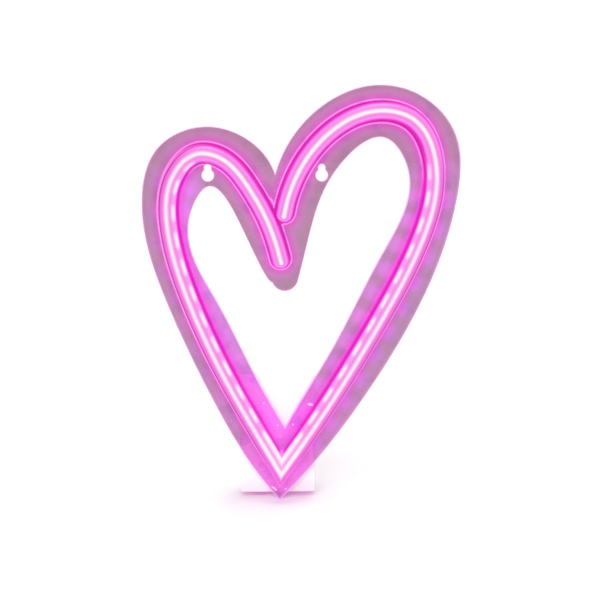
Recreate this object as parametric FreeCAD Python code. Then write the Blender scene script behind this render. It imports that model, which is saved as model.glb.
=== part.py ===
# Heart wall sign: two glowing silicone tubes on a clear heart-shaped plate, with a battery box behind.
# Millimetres. +X is to the viewer's right, +Z is up and the front faces -Y. The origin is midway
# between the two hanging holes, on the plate's back face.
import FreeCAD, Part
import math
import os

os.makedirs("parts", exist_ok=True)

# ---------------------------------------------------------------- overall heart
sign_width = 188.0
sign_height = 253.0

# Outlines are drawn in percent of the sign's width and height, from its left edge and its tip.
outer_left = [(43.0, 0.0), (34.4, 8.3), (20.7, 26.5), (6.8, 50.1), (0.1, 72.7), (5.4, 85.5),
              (20.4, 90.5), (33.7, 87.5), (42.0, 79.8)]
outer_right = [(42.0, 79.8), (48.4, 89.2), (59.0, 96.4), (72.9, 99.9), (88.4, 97.1), (98.1, 89.2),
               (99.1, 72.6), (89.1, 49.8), (71.1, 26.3), (53.1, 8.2), (43.0, 0.0)]
inner_left = [(44.9, 18.4), (38.8, 26.4), (23.0, 50.0), (15.6, 70.8), (20.7, 76.5), (31.3, 67.1),
              (40.9, 54.0)]
prong_tip = [(40.9, 54.0), (44.2, 52.0), (49.1, 54.2)]
inner_right = [(49.1, 54.2), (53.4, 67.0), (62.7, 81.9), (76.2, 87.8), (83.4, 80.9), (76.2, 61.3),
               (60.3, 38.2), (44.9, 18.4)]
# Centre lines of the tubes, from the point where they meet up and round to their free ends.
centre_left = [(43.5, 7.9), (25.1, 32.7), (14.9, 50.0), (8.5, 68.9), (10.2, 78.5), (18.3, 84.3),
               (25.4, 83.3), (33.8, 76.7), (39.6, 68.9), (43.6, 59.8)]
centre_right = [(43.5, 7.9), (60.1, 26.3), (74.8, 44.8), (88.1, 65.1), (91.6, 81.2), (84.3, 92.0),
                (72.2, 93.8), (59.0, 89.2), (49.1, 80.0), (44.9, 70.6)]
keyhole_left = (21.0, 79.3)
keyhole_right = (56.6, 79.3)

# ---------------------------------------------------------------- plate and keyholes
plate_thickness = 4.0
keyhole_radius = 3.3
keyhole_slot_width = 3.6
keyhole_slot_rise = 6.2
feed_hole_radius = 2.1
feed_hole_drop = 1.5

# ---------------------------------------------------------------- silicone tubes
tube_width = 10.5
tube_height = 12.3
groove_depth = 1.5
groove_clearance = 0.1
channel_width = 6.0
channel_height = 3.0
tube_gap = 0.15
plug_length = 3.0
plug_clearance = 0.2
sealant_radius = 1.6
sealant_shift = 0.96

# ---------------------------------------------------------------- light strips
strip_width = 5.0
strip_thickness = 0.25
strip_corner_gap = 0.25
pad_length = 1.2
led_pitch = 1000.0 / 60.0
led_length = 3.5
led_width = 2.8
led_height = 0.8
resistor_length = 1.6
resistor_width = 0.8
resistor_height = 0.45
solder_radius = 0.55
feed_wire_radius = 0.3
feed_wire_bend = 1.5
feed_wire_spacing = 0.74

# ---------------------------------------------------------------- battery box
pad_thickness = 1.0
pad_inset = 0.5
wall = 1.6
box_corner = 1.5
box_front_round = 0.8
cell_radius = 7.1
cell_length = 49.5
nub_radius = 2.75
nub_height = 1.0
cell_gap = 0.3
cell_rest = 0.2
cell_edge_round = 0.5
contact_thickness = 0.4
contact_side_gap = 2.3
contact_edge_gap = 1.2
contact_ear = 1.7
spring_length = 4.0
spring_wire_radius = 0.3
spring_turns = 3.5
spring_base_share = 0.55
spring_top_share = 0.34
touch_gap = 0.05
board_bay_height = 17.0
feed_above_bay_floor = 13.7
box_shift = -1.0
tongue_thickness = 1.0
tongue_depth = 0.8
cover_thickness = 1.6
slide_clearance = 0.15
lid_clearance = 0.1
pillar_radius = 2.2
pillar_inset = 4.15
grip_grooves = 5
grip_groove_width = 20.0
grip_groove_depth = 0.5
grip_pitch = 2.2
grip_drop = 8.0

# ---------------------------------------------------------------- control board and what is on it
rib_width = 2.0
rib_shift = 8.0
board_standoff = 2.0
board_thickness = 1.2
board_clearance = 0.3
lead_radius = 0.55
lead_inset = 1.15
lead_height = 0.9
lead_reach = 12.0
lead_solder_base = 0.95
lead_solder_top = 0.7
lead_solder_rise = 1.0
screw_radius = 1.0
screw_length = 8.0
screw_head_radius = 1.9
screw_head_height = 1.2
screw_fit = 0.02
screw_slot_width = 0.5
screw_slot_depth = 0.5
inlet_shift = -11.0
inlet_width = 8.94
inlet_height = 3.26
inlet_depth = 7.3
inlet_wall = 0.3
inlet_fit = 0.15
inlet_tongue_width = 6.7
inlet_tongue_thickness = 0.7
inlet_tongue_set_back = 1.2
pin_width = 0.3
pin_thickness = 0.1
pin_pitch = 1.0
pins_in_a_row = 6
pin_front_gap = 0.4
pin_back_gap = 0.5
switch_shift = 9.0
switch_width = 8.6
switch_height = 3.5
switch_depth = 4.0
lever_width = 1.8
lever_thickness = 1.5
lever_travel = 2.0
lever_stick_out = 1.8
lever_clearance = 0.15
lever_round = 0.3
switch_roof = 0.8
terminal_pitch = 2.5
terminal_width = 0.5
terminal_thickness = 0.3
terminal_length = 1.5
chip_width = 4.9
chip_height = 1.4
chip_depth = 3.9
chip_shift = -0.5
chip_drop = 4.6
chip_lift = 0.1
leg_pitch = 1.27
leg_width = 0.4
leg_thickness = 0.5
leg_length = 1.0
small_part_width = 0.8
small_part_height = 0.6
small_part_length = 1.6
small_part_pitch = 2.0
small_part_shift = 5.5
small_parts = 4
capacitor_radius = 2.0
capacitor_height = 5.4
capacitor_shift = -6.8


# ================================================================ shared drawing helpers
hang_u = (keyhole_left[0] + keyhole_right[0]) / 2
hang_v = keyhole_left[1]
OUT = FreeCAD.Vector(0, -1, 0)


def vec(x, y, z):
    return FreeCAD.Vector(x, y, z)


def at(point, y=0.0):
    """A point of the percent drawing as a position in millimetres."""
    x = (point[0] - hang_u) / 100 * sign_width
    z = (point[1] - hang_v) / 100 * sign_height
    return vec(x, y, z)


def spline(points, y=0.0):
    curve = Part.BSplineCurve()
    curve.interpolate([at(p, y) for p in points])
    return curve


def arc(a, b, c):
    return Part.Arc(a, b, c).toShape()


def line(a, b):
    return Part.LineSegment(a, b).toShape()


def block(x0, x1, y0, y1, z0, z1):
    return Part.makeBox(x1 - x0, y1 - y0, z1 - z0, vec(x0, y0, z0))


def rod(radius, start, end):
    return Part.makeCylinder(radius, (end - start).Length, start, end - start)


def save(name, shape):
    shape.exportStep("parts/" + name + ".step")


class Path:
    """A flat centre line, measured by distance from the point where the tubes meet."""

    def __init__(self, curve):
        self.curve = curve
        self.length = curve.length()

    def parameter(self, distance):
        return self.curve.parameterAtDistance(distance, self.curve.FirstParameter)

    def point(self, distance):
        return self.curve.value(self.parameter(distance))

    def along(self, distance):
        direction = vec(*self.curve.tangent(self.parameter(distance))[0])
        return direction.normalize()

    def across(self, distance):
        return self.along(distance).cross(OUT)

    def edge(self, start, end):
        return self.curve.toShape(self.parameter(start), self.parameter(end))

    def place(self, distance, side, height):
        return self.point(distance) + self.across(distance) * side + OUT * height


def sweep(path, start, end, profile, lead_in=0.0):
    """Sweep a closed profile along a path, with a straight run-out before its start."""
    edges = [path.edge(start, end)]
    first = path.point(start) - path.along(start) * lead_in
    if lead_in > 0:
        edges.insert(0, line(first, path.point(start)))
    shell = Part.BRepOffsetAPI.MakePipeShell(Part.Wire(edges))
    shell.setBiNormalMode(OUT)
    shell.add(profile(first, path.across(start)))
    shell.build()
    shell.makeSolid()
    return shell.shape()


def rectangle(width, low, high):
    """A profile function: a rectangle from low to high above the groove's floor."""
    def draw(origin, across):
        a = origin - across * (width / 2) + OUT * low
        b = origin + across * (width / 2) + OUT * low
        c = origin + across * (width / 2) + OUT * high
        d = origin - across * (width / 2) + OUT * high
        return Part.makePolygon([a, b, c, d, a])
    return draw


def chip_on(path, distance, side, length, width, low, high):
    """A small block that lies along a path at one distance."""
    along = path.along(distance)
    across = path.across(distance)
    corner = path.place(distance, side - width / 2, low) - along * (length / 2)
    face = Part.Face(Part.makePolygon([corner, corner + along * length,
                                       corner + along * length + across * width,
                                       corner + across * width, corner]))
    return face.extrude(OUT * (high - low))


# ================================================================ heights above the plate's back face
floor = plate_thickness - groove_depth
strip_top = floor + strip_thickness
left = Path(spline(centre_left))
start_guess = at(centre_right[-1])
foot = left.curve.value(left.curve.parameter(start_guess))
beside = (start_guess - foot).normalize()
right_end = foot + beside * (tube_width + tube_gap)
right_curve = Part.BSplineCurve()
right_curve.interpolate([at(p) for p in centre_right[:-1]] + [right_end])
right = Path(right_curve)
meeting = left.point(0)
bisector = (left.along(0) + right.along(0)).normalize()
half_angle = left.along(0).getAngle(right.along(0)) / 2
feed = meeting - bisector * feed_hole_drop

# ================================================================ plate
outer = Part.Wire([spline(outer_left).toShape(), spline(outer_right).toShape()])
tip_points = [at(p) for p in prong_tip]
inner = Part.Wire([spline(inner_left).toShape(), arc(*tip_points), spline(inner_right).toShape()])
outline = Part.Face(outer).cut(Part.Face(inner))
plate = outline.extrude(OUT * plate_thickness)
for corner in (keyhole_left, keyhole_right):
    centre = at(corner, -plate_thickness - 1)
    through = vec(0, plate_thickness + 2, 0)
    plate = plate.cut(Part.makeCylinder(keyhole_radius, through.y, centre, through))
    slot_round = keyhole_slot_width / 2
    slot_top = centre + vec(0, 0, keyhole_slot_rise - slot_round)
    plate = plate.cut(Part.makeCylinder(slot_round, through.y, slot_top, through))
    plate = plate.cut(block(centre.x - slot_round, centre.x + slot_round, centre.y,
                            centre.y + through.y, centre.z, slot_top.z))
groove_width = tube_width + 2 * groove_clearance
mitre_reach = tube_width / math.tan(half_angle)


def beyond_mitre(path):
    """A block on the far side of the plane where the tubes meet, just as large as the run-out."""
    size = 4 * mitre_reach
    away = bisector * path.along(0).dot(bisector) - path.along(0)
    away.normalize()
    half = Part.makeBox(size, size, size, vec(0, -size / 2, -size / 2))
    half.Placement = FreeCAD.Placement(meeting, FreeCAD.Rotation(vec(1, 0, 0), away))
    return half


for path in (left, right):
    trench = sweep(path, 0, path.length, rectangle(groove_width, floor, floor + tube_height), mitre_reach)
    plate = plate.cut(trench.cut(beyond_mitre(path)))
    end = path.point(path.length)
    plate = plate.cut(rod(groove_width / 2, end + OUT * floor, end + OUT * (floor + tube_height)))
plate = plate.cut(rod(feed_hole_radius, feed + OUT * -1, feed + OUT * (plate_thickness + 1)))
save("back_plate", plate)


# ================================================================ tubes and their end caps
flank = tube_height - tube_width / 2


def tube_profile(origin, across):
    def p(side, height):
        return origin + across * side + OUT * (floor + height)
    half = tube_width / 2
    slot = channel_width / 2
    return Part.Wire([
        line(p(-half, 0), p(-half, flank)),
        arc(p(-half, flank), p(0, tube_height), p(half, flank)),
        line(p(half, flank), p(half, 0)),
        line(p(half, 0), p(slot, 0)),
        line(p(slot, 0), p(slot, channel_height)),
        arc(p(slot, channel_height), p(0, channel_height + slot / 2), p(-slot, channel_height)),
        line(p(-slot, channel_height), p(-slot, 0)),
        line(p(-slot, 0), p(-half, 0)),
    ])


tubes = {}
for side, path in (("left", left), ("right", right)):
    tubes[side] = sweep(path, 0, path.length, tube_profile, mitre_reach).cut(beyond_mitre(path))
    save("tube_" + side, tubes[side])

    end = path.point(path.length)
    across = path.across(path.length)
    along = path.along(path.length)
    half = tube_width / 2
    base = end + OUT * floor
    shoulder = base + across * half + OUT * flank
    crown = base + OUT * tube_height
    bulge = base + OUT * flank + (across + OUT).normalize() * half
    quarter = Part.Face(Part.Wire([line(base, base + across * half), line(base + across * half, shoulder),
                                   arc(shoulder, bulge, crown), line(crown, base)]))
    turn_way = OUT if across.cross(along).dot(OUT) > 0 else OUT * -1
    cap = quarter.revolve(base, turn_way, 180)
    plug_width = channel_width - 2 * plug_clearance
    corner = base - across * (plug_width / 2) - along * plug_length
    plug_face = Part.Face(Part.makePolygon([corner, corner + along * plug_length,
                                            corner + along * plug_length + across * plug_width,
                                            corner + across * plug_width, corner]))
    plug = plug_face.extrude(OUT * (channel_height - plug_clearance))
    save("end_cap_" + side, cap.fuse(plug).removeSplitter())

corner_reach = tube_width / 2 / math.sin(half_angle)
inner_corner = meeting + bisector * (corner_reach + sealant_shift)
sealant = rod(sealant_radius, inner_corner + OUT * plate_thickness,
              inner_corner + OUT * (floor + flank)).cut(tubes["left"]).cut(tubes["right"])
save("corner_sealant", max(sealant.Solids, key=lambda piece: piece.CenterOfMass.z))

# ================================================================ light strips
strip_start = strip_width / 2 / math.tan(half_angle) + strip_corner_gap
first_led = strip_start + pad_length + led_length / 2
wire_ends = []
for side, path in (("left", left), ("right", right)):
    strip_end = path.length - plug_length - plug_clearance
    save("led_strip_" + side, sweep(path, strip_start, strip_end,
                                    rectangle(strip_width, floor, strip_top)))
    leds = []
    resistors = []
    distance = first_led
    while distance + led_length / 2 < strip_end:
        leds.append(chip_on(path, distance, 0, led_length, led_width, strip_top, strip_top + led_height))
        between = distance + led_pitch / 2
        if between + resistor_length < strip_end:
            resistors.append(chip_on(path, between, 0, resistor_length, resistor_width, strip_top,
                                     strip_top + resistor_height))
        distance += led_pitch
    save("leds_" + side, Part.makeCompound(leds))
    save("resistors_" + side, Part.makeCompound(resistors))
    inward = 1 if path.across(0).dot(bisector) > 0 else -1
    for polarity, side_offset in (("positive", -inward), ("negative", inward)):
        pad = path.place(strip_start + pad_length / 2, side_offset * strip_width / 4, strip_top)
        wire_ends.append((side, polarity, pad))

# ================================================================ battery box frame of reference
tip = at(outer_left[0])
box_centre = tip.x + box_shift
cell_pitch = 2 * cell_radius + cell_gap
bay_width = 3 * cell_pitch
bay_length = cell_length + nub_height + spring_length + 2 * contact_thickness + 2 * touch_gap
box_x0 = box_centre - bay_width / 2 - wall
box_x1 = box_centre + bay_width / 2 + wall
contact_width = 2 * (cell_radius - contact_side_gap)
box_z0 = feed.z - feed_above_bay_floor - wall
board_bay_z0 = box_z0 + wall
board_bay_z1 = board_bay_z0 + board_bay_height
cell_bay_z0 = board_bay_z1 + wall
cell_bay_z1 = cell_bay_z0 + bay_length
box_z1 = cell_bay_z1 + wall
box_front = pad_thickness
inside_front = box_front + wall
cell_y = inside_front + cell_rest + cell_radius
tongue_y0 = inside_front + 2 * cell_radius + 2 * cell_rest
cover_y0 = tongue_y0 + tongue_thickness
box_back = cover_y0 + cover_thickness
inner_x0 = box_x0 + wall
inner_x1 = box_x1 - wall
split_z = board_bay_z1 + wall / 2

pad_area = block(box_x0 + pad_inset, box_x1 - pad_inset, 0, pad_thickness, box_z0 + pad_inset,
                 box_z1 - pad_inset)
pad = outline.extrude(OUT * -pad_thickness).common(pad_area)
pad = pad.cut(rod(feed_hole_radius, feed + OUT, feed + OUT * (-pad_thickness - 1)))
save("mounting_pad", pad)

# ================================================================ box body
box = block(box_x0, box_x1, box_front, box_back, box_z0, box_z1)
box = box.makeFillet(box_corner, [edge for edge in box.Edges if edge.BoundBox.YLength > pad_thickness])
box = box.makeFillet(box_front_round, [edge for edge in box.Edges if edge.BoundBox.YMax < box_front + 0.01])
box = box.cut(block(inner_x0, inner_x1, inside_front, box_back, board_bay_z0, board_bay_z1))
box = box.cut(block(inner_x0, inner_x1, inside_front, box_back, cell_bay_z0, cell_bay_z1))
box = box.cut(block(inner_x0, inner_x1, tongue_y0 - slide_clearance, box_back, board_bay_z1, box_z1))
box = box.cut(block(inner_x0 - tongue_depth, inner_x1 + tongue_depth, tongue_y0 - slide_clearance,
                    cover_y0 + slide_clearance, split_z, box_z1))
pillar_z = (board_bay_z0 + board_bay_z1) / 2
pillar_places = [box_centre - bay_width / 2 + pillar_inset, box_centre + bay_width / 2 - pillar_inset]
for x in pillar_places:
    pillar = rod(pillar_radius, vec(x, box_front + wall / 2, pillar_z), vec(x, cover_y0, pillar_z))
    pilot_end = vec(x, box_back - screw_length - 1, pillar_z)
    box = box.fuse(pillar).cut(rod(screw_radius + screw_fit, pilot_end, vec(x, box_back, pillar_z)))
board_y0 = inside_front + board_standoff
board_y1 = board_y0 + board_thickness
for x in (box_centre - rib_shift, box_centre + rib_shift):
    box = box.fuse(block(x - rib_width / 2, x + rib_width / 2, box_front + wall / 2, board_y0,
                         board_bay_z0 - wall / 2, board_bay_z1 + wall / 2))
inlet_x = box_centre + inlet_shift
inlet_y = board_y1 + inlet_height / 2


def rounded_bar(width, height, centre_x, centre_y, z0, z1):
    """A bar with half-round sides that runs along Z."""
    radius = height / 2
    reach = width / 2 - radius
    core = block(centre_x - reach, centre_x + reach, centre_y - radius, centre_y + radius, z0, z1)
    for x in (centre_x - reach, centre_x + reach):
        core = core.fuse(rod(radius, vec(x, centre_y, z0), vec(x, centre_y, z1)))
    return core.removeSplitter()


box = box.cut(rounded_bar(inlet_width + 2 * inlet_fit, inlet_height + 2 * inlet_fit, inlet_x, inlet_y,
                          box_z0 - 1, board_bay_z0))
switch_x = box_centre + switch_shift
switch_y = board_y1 + switch_height / 2
lever_x0 = switch_x - lever_width / 2 - lever_travel / 2
lever_x1 = lever_x0 + lever_width
slot_x0 = lever_x0 - lever_clearance
slot_x1 = lever_x1 + lever_travel + lever_clearance
slot_y0 = switch_y - lever_thickness / 2 - lever_clearance
slot_y1 = switch_y + lever_thickness / 2 + lever_clearance
box = box.cut(block(slot_x0, slot_x1, slot_y0, slot_y1, box_z0 - 1, board_bay_z0))
lead_left = box_centre - bay_width / 2 + lead_inset
lead_right = box_centre + bay_width / 2 - lead_inset
lead_y = inside_front + lead_height
for x in (lead_left, lead_right):
    box = box.cut(rod(lead_radius + touch_gap, vec(x, lead_y, board_bay_z1), vec(x, lead_y, cell_bay_z0)))
box = box.cut(rod(feed_hole_radius, feed + OUT * -(box_front - 1), feed + OUT * -(inside_front + 1)))
save("box_body", box.removeSplitter())

# ================================================================ sliding battery cover and board lid
tongue_reach = tongue_depth - slide_clearance
cover = block(inner_x0 + slide_clearance, inner_x1 - slide_clearance, tongue_y0, box_back,
              split_z + slide_clearance, box_z1)
cover = cover.fuse(block(inner_x0 - tongue_reach, inner_x1 + tongue_reach, tongue_y0, cover_y0,
                         split_z + slide_clearance, box_z1))
for i in range(grip_grooves):
    z = box_z1 - grip_drop - i * grip_pitch
    cover = cover.cut(block(box_centre - grip_groove_width / 2, box_centre + grip_groove_width / 2,
                            box_back - grip_groove_depth, box_back + 1, z, z + grip_pitch / 2))
save("battery_cover", cover.removeSplitter())

lid = block(inner_x0 + lid_clearance, inner_x1 - lid_clearance, cover_y0, box_back,
            board_bay_z0 + lid_clearance, split_z)
screws = []
for x in pillar_places:
    head = Part.makeCone(screw_radius, screw_head_radius, screw_head_height,
                         vec(x, box_back - screw_head_height, pillar_z), vec(0, 1, 0))
    shank = rod(screw_radius, vec(x, box_back - screw_length, pillar_z),
                vec(x, box_back - screw_head_height, pillar_z))
    slot_floor = box_back - screw_slot_depth
    slot_half = screw_slot_width / 2
    slot_across = block(x - screw_head_radius, x + screw_head_radius, slot_floor, box_back + 1,
                        pillar_z - slot_half, pillar_z + slot_half)
    slot_upright = block(x - slot_half, x + slot_half, slot_floor, box_back + 1,
                         pillar_z - screw_head_radius, pillar_z + screw_head_radius)
    screws.append(head.fuse(shank).cut(slot_across).cut(slot_upright).removeSplitter())
    lid = lid.cut(rod(screw_radius + screw_fit, vec(x, cover_y0 - 1, pillar_z), vec(x, box_back, pillar_z)))
    lid = lid.cut(head)
save("bay_lid", lid)
save("lid_screws", Part.makeCompound(screws))

# ================================================================ cells, springs and contacts
def cone_spring():
    """A conical coil that stands on its wide end and narrows evenly as it climbs."""
    rise = spring_length - 2 * spring_wire_radius - 2 * touch_gap
    base_radius = cell_radius * spring_base_share
    top_radius = cell_radius * spring_top_share
    steps = round(spring_turns * 10)
    route = []
    for step in range(steps + 1):
        share = step / steps
        turn = 2 * math.pi * spring_turns * share
        radius = base_radius + (top_radius - base_radius) * share
        route.append(vec(radius * math.cos(turn), radius * math.sin(turn), rise * share))
    curve = Part.BSplineCurve()
    curve.interpolate(route)
    start_way = vec(*curve.tangent(curve.FirstParameter)[0])
    wire = Part.BRepOffsetAPI.MakePipeShell(Part.Wire(curve.toShape()))
    wire.setFrenetMode(True)
    wire.add(Part.Wire(Part.makeCircle(spring_wire_radius, route[0], start_way)))
    wire.build()
    wire.makeSolid()
    return wire.shape()


for i in range(3):
    x = box_centre + (i - 1) * cell_pitch
    nub_up = i != 1
    up = 1 if nub_up else -1
    flat_end = cell_bay_z0 if nub_up else cell_bay_z1
    spring_start = flat_end + up * (contact_thickness + touch_gap)
    cell_start = vec(x, cell_y, spring_start + up * spring_length)
    can = rod(cell_radius, cell_start, cell_start + vec(0, 0, up * cell_length))
    rims = [edge for edge in can.Edges if edge.Curve.TypeId == "Part::GeomCircle"]
    can = can.makeFillet(cell_edge_round, rims)
    nub_start = cell_start + vec(0, 0, up * cell_length)
    cell = can.fuse(rod(nub_radius, nub_start - vec(0, 0, up * nub_height),
                        nub_start + vec(0, 0, up * nub_height)))
    save("cell_" + str(i + 1), cell)

    coil = cone_spring()
    if not nub_up:
        coil.rotate(vec(0, 0, 0), vec(1, 0, 0), 180)
    coil.translate(vec(x, cell_y, spring_start + up * (spring_wire_radius + touch_gap)))
    save("negative_spring_" + str(i + 1), coil)

half_contact = contact_width / 2
contact_y0 = inside_front + contact_edge_gap
contact_y1 = tongue_y0 - contact_edge_gap
xs = [box_centre + (i - 1) * cell_pitch for i in range(3)]
top_z0 = cell_bay_z1 - contact_thickness
low_z1 = cell_bay_z0 + contact_thickness
half_ear = contact_ear / 2
save("contact_link_top", block(xs[0] - half_contact, xs[1] + half_contact, contact_y0, contact_y1,
                               top_z0, cell_bay_z1))
save("contact_link_bottom", block(xs[1] - half_contact, xs[2] + half_contact, contact_y0, contact_y1,
                                  cell_bay_z0, low_z1))
tab_top = block(xs[2] - half_contact, xs[2] + half_contact, contact_y0, contact_y1, top_z0, cell_bay_z1)
tab_top = tab_top.fuse(block(xs[2], lead_right + half_ear, lead_y - half_ear, lead_y + half_ear, top_z0,
                             cell_bay_z1)).removeSplitter()
save("contact_tab_top", tab_top)
tab_low = block(xs[0] - half_contact, xs[0] + half_contact, contact_y0, contact_y1, cell_bay_z0, low_z1)
tab_low = tab_low.fuse(block(lead_left - half_ear, xs[0], lead_y - half_ear, lead_y + half_ear, cell_bay_z0,
                             low_z1)).removeSplitter()
save("contact_tab_bottom", tab_low)

# ================================================================ control board
board = block(inner_x0 + board_clearance, inner_x1 - board_clearance, board_y0, board_y1,
              board_bay_z0 + board_clearance, board_bay_z1 - board_clearance)
for x in pillar_places:
    board = board.cut(rod(pillar_radius + board_clearance / 2, vec(x, board_y0 - 1, pillar_z),
                          vec(x, board_y1 + 1, pillar_z)))
save("control_board", board)

lead_end = board_bay_z0 + board_bay_height - lead_reach
leads = {"battery_lead_positive": (lead_right, top_z0), "battery_lead_negative": (lead_left, cell_bay_z0)}
joints = []
for name, (x, top) in leads.items():
    lead = rod(lead_radius, vec(x, lead_y, lead_end), vec(x, lead_y, top))
    save(name, lead)
    blob = Part.makeCone(lead_solder_base, lead_solder_top, board_y0 - lead_y,
                         vec(x, board_y0, lead_end + lead_solder_rise), OUT)
    joints.append(blob.cut(lead))
save("lead_solder", Part.makeCompound(joints))

# ================================================================ power inlet
inlet_z1 = box_z0 + inlet_depth
shell = rounded_bar(inlet_width, inlet_height, inlet_x, inlet_y, box_z0, inlet_z1)
hollow = rounded_bar(inlet_width - 2 * inlet_wall, inlet_height - 2 * inlet_wall, inlet_x, inlet_y,
                     box_z0 - 1, inlet_z1 - inlet_wall)
save("inlet_shell", shell.cut(hollow))
tongue_z0 = box_z0 + inlet_tongue_set_back
tongue_z1 = inlet_z1 - inlet_wall
half_tongue = inlet_tongue_thickness / 2
tongue = block(inlet_x - inlet_tongue_width / 2, inlet_x + inlet_tongue_width / 2, inlet_y - half_tongue,
               inlet_y + half_tongue, tongue_z0, tongue_z1)
save("inlet_tongue", tongue)
pins = []
for y in (inlet_y - half_tongue - pin_thickness, inlet_y + half_tongue):
    for i in range(pins_in_a_row):
        x = inlet_x + (i - (pins_in_a_row - 1) / 2) * pin_pitch
        pins.append(block(x - pin_width / 2, x + pin_width / 2, y, y + pin_thickness,
                          tongue_z0 + pin_front_gap, tongue_z1 - pin_back_gap))
save("inlet_pins", Part.makeCompound(pins))

# ================================================================ slide switch
switch_z0 = board_bay_z0 + lever_clearance
switch_z1 = switch_z0 + switch_depth
housing = block(switch_x - switch_width / 2, switch_x + switch_width / 2, board_y1,
                board_y1 + switch_height, switch_z0, switch_z1)
well_top = switch_z0 + switch_depth - switch_roof
housing = housing.cut(block(slot_x0, slot_x1, slot_y0, slot_y1, switch_z0 - 1, well_top))
save("switch_body", housing)
lever = block(lever_x0, lever_x1, switch_y - lever_thickness / 2, switch_y + lever_thickness / 2,
              box_z0 - lever_stick_out, well_top - lever_clearance)
lever = lever.makeFillet(lever_round, [edge for edge in lever.Edges
                               if edge.BoundBox.ZMax < box_z0 - lever_stick_out + 0.01])
save("switch_lever", lever)
terminals = []
for i in (-1, 0, 1):
    x = switch_x + i * terminal_pitch
    terminals.append(block(x - terminal_width / 2, x + terminal_width / 2, board_y1,
                           board_y1 + terminal_thickness, switch_z1, switch_z1 + terminal_length))
save("switch_terminals", Part.makeCompound(terminals))

# ================================================================ driver chip and small parts
chip_x = box_centre + chip_shift
chip_z = board_bay_z1 - chip_drop
chip_y0 = board_y1 + chip_lift
chip_z0 = chip_z - chip_depth / 2
chip_z1 = chip_z + chip_depth / 2
save("driver_chip", block(chip_x - chip_width / 2, chip_x + chip_width / 2, chip_y0, chip_y0 + chip_height,
                          chip_z0, chip_z1))
legs = []
for leg_z0 in (chip_z0 - leg_length, chip_z1):
    for i in range(4):
        x = chip_x + (i - 1.5) * leg_pitch
        legs.append(block(x - leg_width / 2, x + leg_width / 2, board_y1, board_y1 + leg_thickness,
                          leg_z0, leg_z0 + leg_length))
save("chip_leads", Part.makeCompound(legs))
small = []
for i in range(small_parts):
    x = box_centre + small_part_shift + i * small_part_pitch
    small.append(block(x - small_part_width / 2, x + small_part_width / 2, board_y1,
                       board_y1 + small_part_height, chip_z - small_part_length / 2,
                       chip_z + small_part_length / 2))
save("board_resistors", Part.makeCompound(small))
capacitor_x = box_centre + capacitor_shift
save("capacitor", rod(capacitor_radius, vec(capacitor_x, board_y1, chip_z),
                      vec(capacitor_x, board_y1 + capacitor_height, chip_z)))

# ================================================================ feed wires from board to strips
order = [("left", "positive"), ("left", "negative"), ("right", "negative"), ("right", "positive")]
rightward = bisector.cross(OUT)
level = strip_top + feed_wire_radius
solder = {"left": [], "right": []}
for polarity in ("positive", "negative"):
    wires = []
    for side, kind, pad_point in wire_ends:
        if kind != polarity:
            continue
        stand = feed + rightward * ((order.index((side, kind)) - 1.5) * feed_wire_spacing)
        way = vec(pad_point.x - stand.x, 0, pad_point.z - stand.z).normalize()
        bend_centre = stand + OUT * (level - feed_wire_bend) + way * feed_wire_bend
        bend_start = bend_centre - way * feed_wire_bend
        bend_middle = bend_centre + (OUT - way).normalize() * feed_wire_bend
        bend_end = bend_centre + OUT * feed_wire_bend
        start = stand - OUT * board_y0
        route = Part.Wire([line(start, bend_start), arc(bend_start, bend_middle, bend_end),
                           line(bend_end, pad_point + OUT * feed_wire_radius)])
        ring = Part.Wire(Part.makeCircle(feed_wire_radius, start, OUT))
        wire = route.makePipeShell([ring], True, False)
        wires.append(wire)
        bead = Part.makeSphere(solder_radius, pad_point, OUT, 0, 90, 360)
        solder[side].append(bead.cut(wire))
    save("feed_wires_" + polarity, Part.makeCompound(wires))
for side in ("left", "right"):
    save("strip_solder_" + side, Part.makeCompound(solder[side]))
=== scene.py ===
# Heart wall sign: two glowing silicone tubes on a clear heart-shaped plate, with a battery box behind.
# Metres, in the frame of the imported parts: the front faces -Y, +Z is up.
import math

import bmesh
import bpy
from mathutils import Matrix, Vector, geometry, kdtree


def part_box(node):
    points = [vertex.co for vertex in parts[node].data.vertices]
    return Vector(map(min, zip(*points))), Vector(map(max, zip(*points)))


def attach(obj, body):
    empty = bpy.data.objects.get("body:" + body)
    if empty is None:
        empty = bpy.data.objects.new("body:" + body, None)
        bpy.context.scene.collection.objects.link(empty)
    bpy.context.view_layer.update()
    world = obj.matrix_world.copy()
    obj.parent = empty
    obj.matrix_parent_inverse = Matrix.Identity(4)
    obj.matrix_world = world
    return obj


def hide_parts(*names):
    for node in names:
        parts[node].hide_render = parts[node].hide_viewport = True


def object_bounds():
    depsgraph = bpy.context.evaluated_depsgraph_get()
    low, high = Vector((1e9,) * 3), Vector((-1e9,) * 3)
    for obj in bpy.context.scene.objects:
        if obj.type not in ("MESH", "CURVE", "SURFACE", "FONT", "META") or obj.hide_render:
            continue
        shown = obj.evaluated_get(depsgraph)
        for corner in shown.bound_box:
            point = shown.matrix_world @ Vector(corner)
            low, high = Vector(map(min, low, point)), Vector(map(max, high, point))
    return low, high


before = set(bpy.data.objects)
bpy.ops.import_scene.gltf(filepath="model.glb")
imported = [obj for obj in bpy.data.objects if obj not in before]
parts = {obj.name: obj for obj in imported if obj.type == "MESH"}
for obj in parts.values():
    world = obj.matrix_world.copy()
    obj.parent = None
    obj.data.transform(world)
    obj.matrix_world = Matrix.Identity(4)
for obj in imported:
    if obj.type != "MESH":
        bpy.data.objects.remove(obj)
cad_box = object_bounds()
scene = bpy.context.scene

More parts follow.
